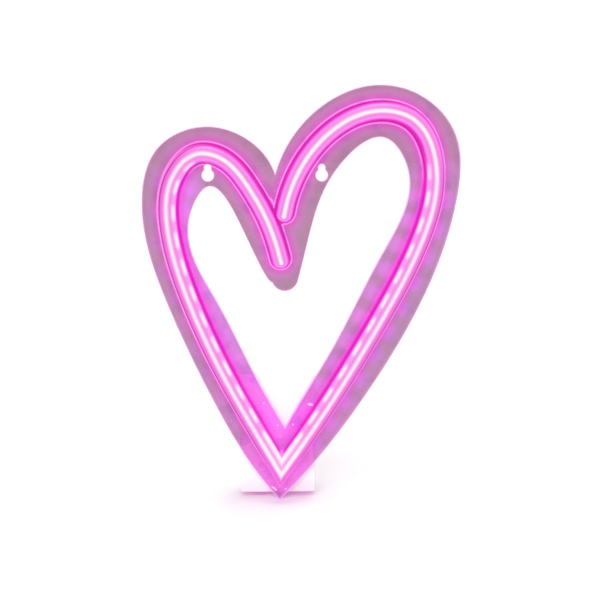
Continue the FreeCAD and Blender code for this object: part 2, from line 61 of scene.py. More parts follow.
# ---------------------------------------------------------------- Clear heart plate
# The plate is 4 mm clear acrylic, cut to the heart's outline and polished on its edges.
# Light from the tubes creeps into it, so it is brightest beside them and mauve at its rim.
MM = 0.001
FORWARD = Vector((0, -1, 0))
tube_width = 10.5 * MM
half_tube = tube_width / 2
chip_spacing = 25 * MM / 3
first_chip = 7.17 * MM
straight_part = 195 * MM
arch_part = 225 * MM
lamp_core = 2.6 * MM
lamp_reach = 6.4 * MM
bend_kept = 0.93
curve_points = 17
plate_edge = 0.5 * MM
mark_grid = 2.6 * MM
touching = 0.01 * MM
lamp_pool = 0.7
outer_pool_left = 0.25
outer_pool_right = 0.55
outer_pool_base = 0.2
point_glow_core = (9 * MM, 34 * MM)
point_glow_haze = (30 * MM, 110 * MM)
core_share = 0.7
haze_share = 0.3


def paint(red, green, blue):
    """A colour from 0 to 255 as seen on a screen, turned into the light it stands for."""
    def light(value):
        value /= 255
        return value / 12.92 if value <= 0.04045 else ((value + 0.055) / 1.055) ** 2.4
    return (light(red), light(green), light(blue), 1.0)


def finish(name, **sockets):
    """A new material, with values for its shader's sockets."""
    material = bpy.data.materials.new(name)
    material.use_nodes = True
    shader = material.node_tree.nodes["Principled BSDF"]
    for socket, value in sockets.items():
        shader.inputs[socket.replace("_", " ")].default_value = value
    return material


def add(material, kind, setup=None, **sockets):
    """One more node in a material; a socket takes a value or what another node gives out."""
    made = material.node_tree.nodes.new("ShaderNode" + kind)
    for key, value in (setup or {}).items():
        setattr(made, key, value)
    for key, value in sockets.items():
        numbered = key[0] == "n" and key[1:].isdigit()
        socket = made.inputs[int(key[1:]) if numbered else key.replace("_", " ")]
        if isinstance(value, bpy.types.NodeSocket):
            material.node_tree.links.new(value, socket)
        else:
            socket.default_value = value
    return made


def to_shader(material, socket, value):
    shader = material.node_tree.nodes["Principled BSDF"]
    material.node_tree.links.new(value, shader.inputs[socket])


def place_of(material):
    return add(material, "TexCoord").outputs["Object"]


def marked(material, name):
    """What an attribute of the mesh says."""
    return add(material, "Attribute", {"attribute_name": name}).outputs["Fac"]


def ramp(material, amount, stops):
    """Values that follow an amount, from (amount, value) pairs in rising order."""
    low, high = stops[0][0], stops[-1][0]
    share = add(material, "MapRange", Value=amount, From_Min=low, From_Max=high)
    card = add(material, "ValToRGB", Fac=share.outputs[0])
    elements = card.color_ramp.elements
    elements[0].color = stops[0][1]
    elements[1].color = stops[-1][1]
    for spot, colour in stops[1:-1]:
        elements.new((spot - low) / (high - low)).color = colour
    return card.outputs["Color"]


def shade_card(material, amount, stops):
    """Colours that follow an amount, from (amount, red, green, blue) in rising order."""
    return ramp(material, amount, [(spot, paint(*colour)) for spot, *colour in stops])


def sums(material, operation, first, second=0.0, third=0.0):
    return add(material, "Math", {"operation": operation}, n0=first, n1=second, n2=third).outputs[0]


def blend(material, amount, first, second):
    """Two colours mixed by an amount."""
    return add(material, "Mix", {"data_type": "RGBA"}, n0=amount, n6=first, n7=second).outputs[2]


def cloud(material, size, detail=2.0):
    """Soft random patches of about this size, from 0 to 1."""
    made = add(material, "TexNoise", Vector=place_of(material), Scale=1 / size, Detail=detail)
    return made.outputs["Fac"]


def mottle(material, size, dark, light, socket="Base Color"):
    """Give a socket soft random patches between two colours."""
    to_shader(material, socket, blend(material, cloud(material, size), paint(*dark), paint(*light)))


def grain(material, size, depth, strength=1.0, detail=2.0):
    """A fine uneven surface."""
    lumps = add(material, "Bump", Strength=strength, Distance=depth, Height=cloud(material, size, detail))
    to_shader(material, "Normal", lumps.outputs[0])


def merged_copy(node):
    """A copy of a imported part's mesh, its corners joined and its flat faces made whole."""
    bm = bmesh.new()
    bm.from_mesh(parts[node].data)
    bmesh.ops.remove_doubles(bm, verts=bm.verts, dist=0.001 * MM)
    bmesh.ops.dissolve_limit(bm, angle_limit=math.radians(0.5), verts=bm.verts, edges=bm.edges)
    return bm


def everything(bm):
    return bm.verts[:] + bm.edges[:] + bm.faces[:]


def ease_edges(bm, width, angle=60, keep=None, clamp=True):
    """Round a mesh's sharp edges a little."""
    sharp = [e for e in bm.edges if len(e.link_faces) == 2 and e.calc_face_angle(0) > math.radians(angle)
             and (keep is None or keep(e))]
    bmesh.ops.bevel(bm, geom=sharp, offset=width, offset_type="OFFSET", affect="EDGES", segments=2,
                    profile=0.5, material=-1, clamp_overlap=clamp)


def piece(name, bm, material, body, slot, *stands_for, crease=30):
    """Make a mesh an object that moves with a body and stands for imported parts."""
    mesh = bpy.data.meshes.new(name)
    bm.to_mesh(mesh)
    bm.free()
    mesh.polygons.foreach_set("use_smooth", [True] * len(mesh.polygons))
    mesh.set_sharp_from_angle(angle=math.radians(crease))
    mesh.materials.append(material)
    made = bpy.data.objects.new(name, mesh)
    scene.collection.objects.link(made)
    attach(made, body)
    if stands_for:
        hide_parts(*stands_for)
    return made


def middles(node):
    """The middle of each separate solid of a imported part."""
    bm = merged_copy(node)
    found = []
    waiting = dict.fromkeys(bm.verts)
    while waiting:
        group = [waiting.popitem()[0]]
        for vert in group:
            for edge in vert.link_edges:
                other = edge.other_vert(vert)
                if other in waiting:
                    del waiting[other]
                    group.append(other)
        centre = sum((v.co for v in group), Vector()) / len(group)
        found.append(Vector((centre.x, 0, centre.z)))
    bm.free()
    return found


def chain_of_chips(side):
    """The lamps and resistors of one strip in order, from the heart's point upwards."""
    waiting = middles("leds_" + side) + middles("resistors_" + side)
    chain = [min(waiting, key=lambda spot: spot.z)]
    waiting.remove(chain[0])
    while waiting:
        chain.append(min(waiting, key=lambda spot: (spot - chain[-1]).length))
        waiting.remove(chain[-1])
    return chain


def back_to_the_point(chain):
    """Where a strip's line is heading below its first chip, and which way."""
    way = (chain[1] - chain[0]).normalized()
    next_way = (chain[2] - chain[1]).normalized()
    return (way - (next_way - way) * bend_kept).normalized()


def smooth_line(spots):
    """Places a millimetre apart on a smooth line through these spots, as (place, direction, distance)."""
    ways = []
    for i, spot in enumerate(spots):
        before = spots[i] - spots[max(i - 1, 0)]
        after = spots[min(i + 1, len(spots) - 1)] - spots[i]
        if i == 0 or i == len(spots) - 1:
            ways.append((before + after).normalized())
        else:
            both = before.normalized() * after.length + after.normalized() * before.length
            ways.append(both.normalized())
    fine = [spots[0]]
    for a, b, way_a, way_b in zip(spots, spots[1:], ways, ways[1:]):
        third = (b - a).length / 3
        handles = a + way_a * third, b - way_b * third
        fine += geometry.interpolate_bezier(a, *handles, b, curve_points)[1:]
    total = sum((b - a).length for a, b in zip(fine, fine[1:]))
    step = total / round(total / MM)
    places = [fine[0]]
    gone = 0.0
    for a, b in zip(fine, fine[1:]):
        length = (b - a).length
        while gone + length >= step * len(places) - 1e-9:
            places.append(a.lerp(b, (step * len(places) - gone) / length))
        gone += length
    line = []
    for i, place in enumerate(places):
        way = places[min(i + 1, len(places) - 1)] - places[max(i - 1, 0)]
        line.append((place, way.normalized(), step * i))
    return line


chains = {side: chain_of_chips(side) for side in ("left", "right")}
ways_down = {side: back_to_the_point(chains[side]) for side in chains}
heart_point = geometry.intersect_line_line(chains["left"][0], chains["left"][0] - ways_down["left"],
                                           chains["right"][0], chains["right"][0] - ways_down["right"])[0]
left_cap_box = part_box("end_cap_left")
right_cap_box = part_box("end_cap_right")
line_ends = {"left": Vector((left_cap_box[1].x - half_tube, 0, left_cap_box[0].z + half_tube)),
             "right": Vector((right_cap_box[0].x + half_tube, 0, right_cap_box[0].z + half_tube))}
lines = {side: smooth_line([heart_point] + chains[side] + [line_ends[side]]) for side in chains}
up_the_middle = (lines["left"][0][1] + lines["right"][0][1]).normalized()
inward = {"left": 1, "right": -1}


def fade(low, high, value):
    """0 below low, 1 above high and smooth between them."""
    share = min(max((value - low) / (high - low), 0), 1)
    return share * share * (3 - 2 * share)


def lamp_glow(distance):
    """How near a distance along the line is to a lamp: 1 at its middle."""
    spacing = 2 * chip_spacing
    offset = abs((distance - first_chip + spacing / 2) % spacing - spacing / 2)
    return 1 - fade(lamp_core, lamp_reach, offset)


line_tree = kdtree.KDTree(sum(len(line) for line in lines.values()))
line_spots = []
for side, line in lines.items():
    for place, way, distance in line:
        line_tree.insert(place, len(line_spots))
        line_spots.append((side, place, way, distance, distance == line[-1][2]))
line_tree.balance()


def beside_tube(spot):
    """Clearance from the nearest tube, how far inside its line (below 0 is outside) and how far up it."""
    flat = Vector((spot.x, 0, spot.z))
    side, place, way, distance, at_end = line_spots[line_tree.find(flat)[1]]
    if distance == 0:
        side = "left" if (flat - heart_point).dot(up_the_middle.cross(FORWARD)) < 0 else "right"
        place, way, distance = lines[side][0]
    ahead = (flat - place).dot(way)
    across = (flat - place).dot(way.cross(FORWARD)) * inward[side]
    away = abs(across)
    if at_end and ahead > 0:
        away = (flat - place).length
    return away - half_tube, across, distance + ahead


plate = merged_copy("back_plate")
plate_low, plate_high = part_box("back_plate")
plate_front = plate_low.y
plate_back = plate_high.y
box_low, box_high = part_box("box_body")


def on_a_face(edge):
    """Whether an edge lies in the plate's front or in its back."""
    return all(min(abs(v.co.y - plate_front), abs(v.co.y - plate_back)) < touching for v in edge.verts)


# The edges are eased, and the faces are cut into a fine grid whose corners say how the light falls.
ease_edges(plate, plate_edge, angle=50, keep=on_a_face, clamp=False)
for direction in (Vector((1, 0, 0)), Vector((0, 0, 1))):
    start = plate_low.dot(direction)
    steps = int((plate_high.dot(direction) - start) / mark_grid)
    cuts = [start + mark_grid * (i + 1) for i in range(steps)]
    for cut in cuts + [box_low.dot(direction), box_high.dot(direction)]:
        bmesh.ops.bisect_plane(plate, geom=everything(plate), dist=1e-7, plane_co=direction * cut,
                               plane_no=direction)
reach_mark = plate.verts.layers.float.new("reach")
inside_mark = plate.verts.layers.float.new("inside")
pool_mark = plate.verts.layers.float.new("pool")
outer_pool_mark = plate.verts.layers.float.new("outer_pool")
by_arch_mark = plate.verts.layers.float.new("by_arch")
point_glow_mark = plate.verts.layers.float.new("near_point")
low_mark = plate.verts.layers.float.new("low_down")
rim_glow_mark = plate.faces.layers.float.new("rim")
box_mark = plate.faces.layers.float.new("over_box")
for vert in plate.verts:
    clearance, across, distance = beside_tube(vert.co)
    low_part = 1 - fade(straight_part, arch_part, distance)
    vert[reach_mark] = clearance / MM
    vert[inside_mark] = fade(-half_tube, half_tube, across) * low_part
    on_left = vert.co.x < heart_point.x
    near_lamp = lamp_glow(distance)
    lamp_share = max(near_lamp, lamp_pool) if on_left else lamp_pool * near_lamp
    vert[pool_mark] = lamp_share * vert[inside_mark]
    outer_right = outer_pool_base + outer_pool_right * near_lamp
    outer_share = outer_pool_left * near_lamp if on_left else outer_right
    vert[outer_pool_mark] = outer_share * fade(-1, 1, -across / half_tube) * low_part
    vert[by_arch_mark] = 1 - low_part
    vert[low_mark] = 1 - fade(box_high.z - 34 * MM, box_high.z - 2 * MM, vert.co.z)
    # Near the heart's point a painted pink glow is laid on the plate: strong within a few centimetres,
    # fainter further off, and none below the box's lower edge.
    from_point = (Vector((vert.co.x, 0, vert.co.z)) - heart_point).length
    above_tip = fade(box_low.z + 1 * MM, box_low.z + 6 * MM, vert.co.z)
    core = core_share * (1 - fade(*point_glow_core, from_point))
    haze = haze_share * (1 - fade(*point_glow_haze, from_point))
    vert[point_glow_mark] = (core + haze) * above_tip
# Edge faces away from the tubes are marked for a painted pale pink glow.
for face in plate.faces:
    centre = face.calc_center_median()
    on_the_rim = abs(face.normal.y) < 0.97 and beside_tube(centre)[0] > 1 * MM
    face[rim_glow_mark] = 1.0 if on_the_rim else 0.0
    inside_box = box_low.x < centre.x < box_high.x and box_low.z < centre.z < box_high.z
    face[box_mark] = 1.0 if inside_box else 0.0

# Each card gives the light on the plate by the distance from the nearest tube, in millimetres.
clear_acrylic = finish("clear_acrylic", Roughness=0.2, IOR=1.49, Emission_Strength=1.0,
                       Specular_IOR_Level=0.22)
reach = marked(clear_acrylic, "reach")
outer_shade = shade_card(clear_acrylic, reach, [
    (-5.0, 250, 160, 240), (-3.0, 246, 124, 232), (-1.0, 214, 28, 184), (0.0, 200, 22, 170),
    (0.5, 210, 34, 182), (0.8, 250, 150, 240), (1.3, 248, 140, 236), (1.8, 186, 84, 166),
    (3.2, 170, 92, 152), (5.5, 158, 90, 144), (8.5, 148, 90, 132), (13.0, 140, 94, 122)])
outer_pools = shade_card(clear_acrylic, reach, [
    (0.8, 246, 126, 234), (1.4, 240, 110, 226), (2.0, 228, 84, 222), (4.0, 212, 80, 226),
    (7.0, 178, 86, 188), (13.0, 140, 94, 122)])
arch_shade = shade_card(clear_acrylic, reach, [
    (-5.0, 250, 160, 240), (-3.0, 246, 124, 232), (-1.0, 206, 8, 158), (0.0, 198, 4, 148),
    (0.45, 204, 10, 158), (0.9, 222, 56, 196), (1.3, 251, 142, 241), (1.6, 251, 142, 241),
    (2.1, 208, 74, 188), (4.5, 186, 84, 168), (8.0, 156, 86, 138), (12.0, 144, 90, 122)])
inner_shade = shade_card(clear_acrylic, reach, [
    (-5.0, 250, 160, 240), (-3.0, 246, 124, 232), (-1.0, 212, 20, 180), (0.0, 208, 10, 176),
    (0.9, 214, 18, 184), (1.4, 228, 54, 210), (1.9, 226, 74, 208), (2.8, 196, 78, 180),
    (4.2, 178, 86, 166), (7.0, 168, 90, 158), (12.0, 158, 94, 146)])
pools = shade_card(clear_acrylic, reach, [
    (-5.0, 255, 190, 248), (-3.0, 248, 140, 236), (0.0, 212, 12, 182), (1.1, 222, 26, 196),
    (1.7, 240, 80, 226), (3.0, 222, 84, 214), (6.5, 212, 90, 222), (12.0, 186, 94, 190)])
inner_light = blend(clear_acrylic, marked(clear_acrylic, "pool"), inner_shade, pools)
outer_light = blend(clear_acrylic, marked(clear_acrylic, "outer_pool"), outer_shade, outer_pools)
lit = blend(clear_acrylic, marked(clear_acrylic, "inside"), outer_light, inner_light)
lit = blend(clear_acrylic, marked(clear_acrylic, "by_arch"), lit, arch_shade)
# Over the battery box, low on the heart's inside, the plate is painted a brighter pink: painted light
# standing for the white box behind it, lit by the tubes.
over_box = marked(clear_acrylic, "over_box")
painted_box_glow_mask = sums(clear_acrylic, "MULTIPLY", over_box, marked(clear_acrylic, "inside"))
painted_box_glow_mask = sums(clear_acrylic, "MULTIPLY", painted_box_glow_mask, marked(clear_acrylic, "low_down"))
box_glow_shades = shade_card(clear_acrylic, reach, [
    (-1.0, 220, 24, 192), (0.0, 222, 20, 192), (0.8, 232, 34, 208), (2.0, 242, 70, 230),
    (6.5, 244, 94, 238)])
lit = blend(clear_acrylic, painted_box_glow_mask, lit, box_glow_shades)
# The painted pink glow near the heart's point.
point_glow = sums(clear_acrylic, "MULTIPLY", marked(clear_acrylic, "near_point"), 0.85)
lit = blend(clear_acrylic, point_glow, lit, paint(216, 86, 204))
patches = sums(clear_acrylic, "MULTIPLY_ADD", cloud(clear_acrylic, 9 * MM, 3.0), 0.5, 0.74)
tints = ramp(clear_acrylic, patches, [
    (0.86, (0.76, 0.74, 0.92, 1)), (1.0, (1.02, 1.04, 1.02, 1)), (1.2, (1.1, 1.16, 1.04, 1))])
lit = add(clear_acrylic, "Mix", {"data_type": "RGBA", "blend_type": "MULTIPLY"},
          n0=1.0, n6=lit, n7=tints).outputs[2]
# The plate's edges are painted with a pale pink glow.
lit = blend(clear_acrylic, sums(clear_acrylic, "MULTIPLY", marked(clear_acrylic, "rim"), 0.95), lit,
            paint(255, 184, 246))
to_shader(clear_acrylic, "Emission Color", lit)
mottle(clear_acrylic, 12 * MM, (70, 38, 62), (92, 52, 80))
opacities = ((-5.0, 0.5), (-0.8, 0.6), (0.0, 0.92), (2.0, 0.86), (6.0, 0.68))
opacity = ramp(clear_acrylic, reach, [(spot, (amount,) * 4) for spot, amount in opacities])
to_shader(clear_acrylic, "Alpha", opacity)
grain(clear_acrylic, 6 * MM, 0.05 * MM, 0.35)
piece("heart_plate", plate, clear_acrylic, "sign", "clear_plate", "back_plate")

# ---------------------------------------------------------------- Light strips
# Flexible white circuit tape lies in each groove with a lamp every 16.7 mm and a resistor between lamps.
# Both strips are soldered to two pairs of thin wires that come up through a hole at the heart's point.


def carry_over(material, slot, *nodes):
    """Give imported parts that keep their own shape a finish."""
    for node in nodes:
        parts[node].data.materials.clear()
        parts[node].data.materials.append(material)


strip_white = finish("strip_white", Roughness=0.42, Emission_Strength=0.55)
weave = cloud(strip_white, 0.6 * MM, 2.0)
to_shader(strip_white, "Base Color", blend(strip_white, weave, paint(236, 214, 232), paint(248, 236, 246)))
# The tape's pink glow is painted light from the lamps beside it.
mottle(strip_white, 7 * MM, (250, 120, 226), (255, 190, 248), "Emission Color")
grain(strip_white, 0.5 * MM, 0.02 * MM, 0.5)
carry_over(strip_white, "strip_board", "led_strip_left", "led_strip_right")

lamp = finish("lamp_package", Roughness=0.35, Emission_Strength=1.0)
mottle(lamp, 1.2 * MM, (250, 236, 232), (255, 220, 240))
mottle(lamp, 1.6 * MM, (255, 190, 248), (255, 240, 254), "Emission Color")
carry_over(lamp, "led", "leds_left", "leds_right")

black_chip = finish("black_chip", Roughness=0.38)
mottle(black_chip, 0.4 * MM, (26, 26, 29), (44, 43, 46))
grain(black_chip, 0.15 * MM, 0.01 * MM, 0.6)
carry_over(black_chip, "black_chip", "resistors_left", "resistors_right")

solder = finish("solder", Metallic=1.0)
mottle(solder, 0.5 * MM, (186, 190, 194), (222, 222, 220))
to_shader(solder, "Roughness", sums(solder, "MULTIPLY_ADD", cloud(solder, 0.4 * MM), 0.3, 0.14))
grain(solder, 0.5 * MM, 0.03 * MM, 0.5)
carry_over(solder, "solder", "strip_solder_left", "strip_solder_right", "lead_solder")

red_wire = finish("red_wire", Roughness=0.36, Coat_Weight=0.2)
mottle(red_wire, 2 * MM, (186, 22, 26), (212, 38, 36))
carry_over(red_wire, "red_wire", "feed_wires_positive", "battery_lead_positive")
black_wire = finish("black_wire", Roughness=0.4, Coat_Weight=0.2)
mottle(black_wire, 2 * MM, (20, 20, 22), (38, 38, 40))
carry_over(black_wire, "black_wire", "feed_wires_negative", "battery_lead_negative")

# ---------------------------------------------------------------- Glowing tubes
# Each tube is one length of milky silicone with a domed top and a channel below for the strip.
# It is pressed into the groove; its glow is painted by place across and along it: a white line along its
# crown, spots from the lamps on its inner side, and painted shade in dark magenta at its feet.
tube_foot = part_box("tube_left")[1].y
tube_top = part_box("tube_left")[0].y
tube_height = tube_foot - tube_top
flank = tube_height - half_tube
channel_half = 3.0 * MM
channel_height = 3.0 * MM
flank_girths = (1.0, 0.87, 0.73)
dome_steps = 36
vault_steps = 8
dome_girth = 0.6
run_out = 9 * MM
run_out_steps = 9
mitre_reach = 24 * MM
cap_rise_steps = 12
cap_turn_steps = 28
cap_core = 1.6 * MM


def station(place, way, height=0.0):
    """The turn and move that put a drawn outline across a line at this place."""
    turned = Matrix((way.cross(FORWARD), way, FORWARD)).transposed().to_4x4()
    return Matrix.Translation(place + FORWARD * height) @ turned


def pull_along(bm, edges, stops, mark):
    """Pull a closed outline through the stops of a line; mark notes things on each new vertex."""
    for (place, way, _), (next_place, next_way, next_distance) in zip(stops, stops[1:]):
        new = bmesh.ops.extrude_edge_only(bm, edges=edges)["geom"]
        verts = [g for g in new if isinstance(g, bmesh.types.BMVert)]
        edges = [g for g in new if isinstance(g, bmesh.types.BMEdge) and g.is_boundary]
        move = station(next_place, next_way) @ station(place, way).inverted()
        bmesh.ops.transform(bm, matrix=move, verts=verts)
        for vert in verts:
            mark(vert, next_distance)
    return edges


def around_dome(angle):
    """Place on the dome at an angle from the crown, as (sideways, height)."""
    return math.sin(angle) * half_tube, flank + math.cos(angle) * half_tube


def half_outline(sign):
    """The flat flank of one side from the foot up to the dome, as (sideways, height, girth)."""
    return [(sign * half_tube, flank * step / 3, sign * girth) for step, girth in enumerate(flank_girths)]


def tube_outline():
    """A tube's cross-section, round from the foot on one side to the vault of its channel."""
    outline = half_outline(1)
    for i in range(dome_steps + 1):
        angle = math.pi / 2 - math.pi * i / dome_steps
        outline.append((*around_dome(angle), dome_girth * angle / (math.pi / 2)))
    outline += half_outline(-1)[::-1]
    outline += [(-channel_half, 0.0, -1.0), (-channel_half, channel_height, -1.0)]
    for i in range(1, vault_steps):
        angle = math.pi * i / vault_steps
        rise = channel_height + math.sin(angle) * channel_half / 2
        outline.append((-math.cos(angle) * channel_half, rise, 1.0))
    return outline + [(channel_half, channel_height, 1.0), (channel_half, 0.0, 1.0)]


def girth_marks(bm):
    return [bm.verts.layers.float.new(name) for name in ("girth", "lit", "arch", "corner")]


def lamp_light(girth, distance):
    """How brightly the lamps shine through one place of a tube's side; girth is +1 at the inner foot."""
    near_point = 1 - fade(16 * MM, 34 * MM, distance)
    middle = 0.345 + 0.03 * near_point
    width = 0.105 + 0.055 * near_point
    crown_width = 0.075
    band = math.exp(-((girth - middle) / width) ** 2)
    row = max(0.16 + 0.95 * lamp_glow(distance), near_point)
    crown = math.exp(-(girth / crown_width) ** 2) * near_point
    return max(min(band * row, 1.0) * (1 - fade(straight_part, arch_part, distance)), crown)


glow = finish("milky_silicone", Roughness=0.3, Specular_IOR_Level=0.16, Emission_Strength=1.0,
              Base_Color=paint(40, 8, 34))
wobble = sums(glow, "MULTIPLY_ADD", cloud(glow, 5 * MM, 3.0), 0.03, -0.015)
girth = sums(glow, "ADD", marked(glow, "girth"), wobble)
across_limb = sums(glow, "MULTIPLY_ADD", girth, 0.5, 0.5)
# These cards paint the tube's glow across it: white at the crown, pink on the flanks, and painted shade in
# dark magenta at the feet.
limb = shade_card(glow, across_limb, [
    (0.0, 190, 20, 160), (0.185, 206, 34, 178), (0.22, 253, 162, 245), (0.265, 253, 168, 246),
    (0.298, 194, 40, 162), (0.338, 202, 50, 172), (0.372, 236, 114, 216), (0.42, 238, 118, 218),
    (0.458, 244, 178, 229), (0.48, 252, 222, 248), (0.5, 255, 238, 254), (0.52, 252, 222, 248),
    (0.545, 243, 176, 234), (0.585, 237, 132, 219), (0.61, 242, 142, 230), (0.66, 244, 140, 232),
    (0.73, 246, 136, 232), (0.79, 236, 92, 210), (0.84, 222, 36, 188), (1.0, 198, 12, 166)])
arch = shade_card(glow, sums(glow, "ABSOLUTE", girth), [
    (0.0, 255, 244, 254), (0.05, 254, 232, 251), (0.08, 243, 184, 230), (0.12, 238, 154, 220),
    (0.17, 236, 132, 216), (0.23, 250, 142, 238), (0.29, 252, 142, 242), (0.35, 244, 106, 232),
    (0.4, 240, 78, 216), (0.45, 216, 24, 170), (0.6, 206, 8, 156), (1.0, 190, 6, 146)])
colour = blend(glow, marked(glow, "arch"), limb, arch)
# Near the heart's point the outer flank is painted a lighter pink over that shade.
colour = blend(glow, marked(glow, "corner"), colour, paint(236, 104, 222))
colour = blend(glow, marked(glow, "lit"), colour, paint(255, 240, 254))
to_shader(glow, "Emission Color", colour)
grain(glow, 3 * MM, 0.06 * MM, 0.3)

for side, line in lines.items():
    tube = bmesh.new()
    girth_mark, lit_mark, arch_mark, corner_mark = girth_marks(tube)
    first_place, first_way = line[0][:2]
    stops = []
    for i in range(run_out_steps):
        before = run_out * (1 - i / run_out_steps)
        stops.append((first_place - first_way * before, first_way, -before))
    stops += line

    def note(vert, distance):
        vert[lit_mark] = lamp_light(vert[girth_mark], max(distance, 0))
        vert[arch_mark] = fade(straight_part, arch_part, distance)
        vert[corner_mark] = (1 - fade(6 * MM, 22 * MM, distance)) * fade(0.14, 0.24, -vert[girth_mark])

    put = station(*stops[0][:2], height=-tube_foot)
    ring = []
    for across, height, around in tube_outline():
        vert = tube.verts.new(put @ Vector((across, 0, height)))
        vert[girth_mark] = around * inward[side]
        note(vert, stops[0][2])
        ring.append(vert)
    edges = [tube.edges.new((a, b)) for a, b in zip(ring, ring[1:] + ring[:1])]
    last = pull_along(tube, edges, stops, note)
    bmesh.ops.edgeloop_fill(tube, edges=last)
    near = [v for v in tube.verts if (v.co - heart_point).length < mitre_reach]
    near_parts = dict.fromkeys(near + [part for v in near for part in (*v.link_edges, *v.link_faces)])
    bmesh.ops.bisect_plane(tube, geom=list(near_parts), dist=1e-7, plane_co=heart_point,
                           plane_no=up_the_middle.cross(FORWARD) * inward[side], clear_outer=True)
    bmesh.ops.edgeloop_fill(tube, edges=[e for e in tube.edges if e.is_boundary])
    bmesh.ops.recalc_face_normals(tube, faces=tube.faces)
    piece("tube_skin_" + side, tube, glow, "sign", "glowing_silicone", "tube_" + side, crease=50)

    # The free end is closed by a half-round silicone cap, glued in with a short plug.
    cap = bmesh.new()
    girth_mark, lit_mark, arch_mark, corner_mark = girth_marks(cap)
    end_place, end_way = line[-1][:2]
    put = station(end_place, end_way, height=-tube_foot)
    quarter = [cap.verts.new(put @ Vector((half_tube, 0, flank * step / 3))) for step in range(3)]
    for i in range(cap_rise_steps + 1):
        across, height = around_dome(math.pi / 2 * (1 - i / cap_rise_steps))
        quarter.append(cap.verts.new(put @ Vector((across, 0, height))))
    quarter_edges = [cap.edges.new((a, b)) for a, b in zip(quarter, quarter[1:])]
    half_way = Matrix.Rotation(math.pi / 2, 3, FORWARD) @ end_way.cross(FORWARD)
    half_turn = math.pi if half_way.dot(end_way) > 0 else -math.pi
    bmesh.ops.spin(cap, geom=quarter + quarter_edges, cent=end_place, axis=FORWARD, angle=half_turn,
                   steps=cap_turn_steps, use_merge=False)
    bmesh.ops.remove_doubles(cap, verts=cap.verts, dist=0.005 * MM)
    bmesh.ops.edgeloop_fill(cap, edges=[e for e in cap.edges if e.is_boundary])
    bmesh.ops.recalc_face_normals(cap, faces=cap.faces)
    back_to_cap = put.inverted()
    for vert in cap.verts:
        across, ahead, height = back_to_cap @ vert.co
        far = min(math.hypot(across, ahead) / half_tube, 1)
        near_core = min(math.hypot(across, max(ahead - cap_core, 0)) / half_tube, 1)
        used = near_core + (far - near_core) * fade(0.35, 1.0, far)
        around = dome_girth * math.asin(used) / (math.pi / 2)
        if height < flank - touching:
            around = 1.0 - (1.0 - dome_girth) * height / flank
        vert[girth_mark] = around
        vert[lit_mark] = 0.0
        vert[arch_mark] = 1.0
        vert[corner_mark] = 0.0
    piece("tube_cap_" + side, cap, glow, "sign", "glowing_silicone", "end_cap_" + side, crease=50)

# ---------------------------------------------------------------- Dab of sealant
# A small dab of clear sealant fills the inner corner where the two tubes meet.
# It is soft and uneven, and the tubes' light fills it.
sealant = finish("sealant", Roughness=0.2, Emission_Strength=0.8)
mottle(sealant, 1 * MM, (120, 50, 100), (160, 80, 140))
mottle(sealant, 1.5 * MM, (236, 56, 206), (250, 140, 236), "Emission Color")
grain(sealant, 1 * MM, 0.1 * MM, 0.6)
carry_over(sealant, "sealant", "corner_sealant")

# ---------------------------------------------------------------- Drops of clear glue
# A few small flat drops of clear glue were left on the plate near the heart's point.
# Each is a low dome, placed from the heart's point; its glint is painted into its glow colour.
# The drops' glow is a painted glint.
drop_glue_and_glint = finish("drop_glue_and_glint", Roughness=0.12, Emission_Strength=1.0)
mottle(drop_glue_and_glint, 1.2 * MM, (250, 146, 238), (255, 214, 250), "Emission Color")
mottle(drop_glue_and_glint, 1.2 * MM, (120, 60, 110), (150, 90, 140))
drop_thickness = 0.5 * MM
# Each drop is sideways, up, width and height in millimetres, and its lean in degrees.
drops = (
    (-10.4, 42.3, 1.3, 0.8, 60), (-2.0, 28.2, 1.1, 1.1, 0), (7.5, 28.6, 1.0, 1.3, -50),
    (18.1, 41.3, 3.4, 1.7, 8), (-4.6, -12.0, 2.6, 1.0, 25), (-3.4, -13.2, 2.0, 0.8, 40),
    (2.8, -12.9, 1.2, 0.8, 10))
for number, (sideways, up, width, height, lean) in enumerate(drops, 1):
    drop = bmesh.new()
    bmesh.ops.create_uvsphere(drop, u_segments=20, v_segments=12, radius=0.5)
    bmesh.ops.bisect_plane(drop, geom=everything(drop), dist=1e-6, plane_co=(0, 0, 0), plane_no=(0, 1, 0),
                           clear_outer=True)
    bmesh.ops.edgeloop_fill(drop, edges=[e for e in drop.edges if e.is_boundary])
    bmesh.ops.scale(drop, verts=drop.verts, vec=(width * MM, drop_thickness, height * MM))
    tilt = Matrix.Rotation(math.radians(lean), 3, "Y")
    bmesh.ops.rotate(drop, verts=drop.verts, cent=(0, 0, 0), matrix=tilt)
    spot = Vector((heart_point.x + sideways * MM, plate_front, heart_point.z + up * MM))
    bmesh.ops.translate(drop, verts=drop.verts, vec=spot)
    piece("glue_drop_%d" % number, drop, drop_glue_and_glint, "sign", "sealant", crease=50)

# ---------------------------------------------------------------- Mounting pad
# A 1 mm sheet of clear gel tape holds the battery box on the plate's back. Pink light fills it,
# and a few air bubbles trapped in it show as painted bright glints.
gel = finish("gel_tape", Roughness=0.25, Emission_Strength=1.0)
bubbles = add(gel, "TexVoronoi", Vector=place_of(gel), Scale=1 / (7 * MM), Randomness=1.0)
# The bubbles' glints are painted as near-white spots in the glow colour.
bubble_glints = sums(gel, "LESS_THAN", bubbles.outputs["Distance"], 0.1)
gel_light = blend(gel, cloud(gel, 6 * MM), paint(246, 138, 234), paint(253, 180, 246))
to_shader(gel, "Emission Color", blend(gel, bubble_glints, gel_light, paint(255, 214, 252)))
mottle(gel, 3 * MM, (150, 60, 130), (190, 90, 170))
carry_over(gel, "adhesive_pad", "mounting_pad")

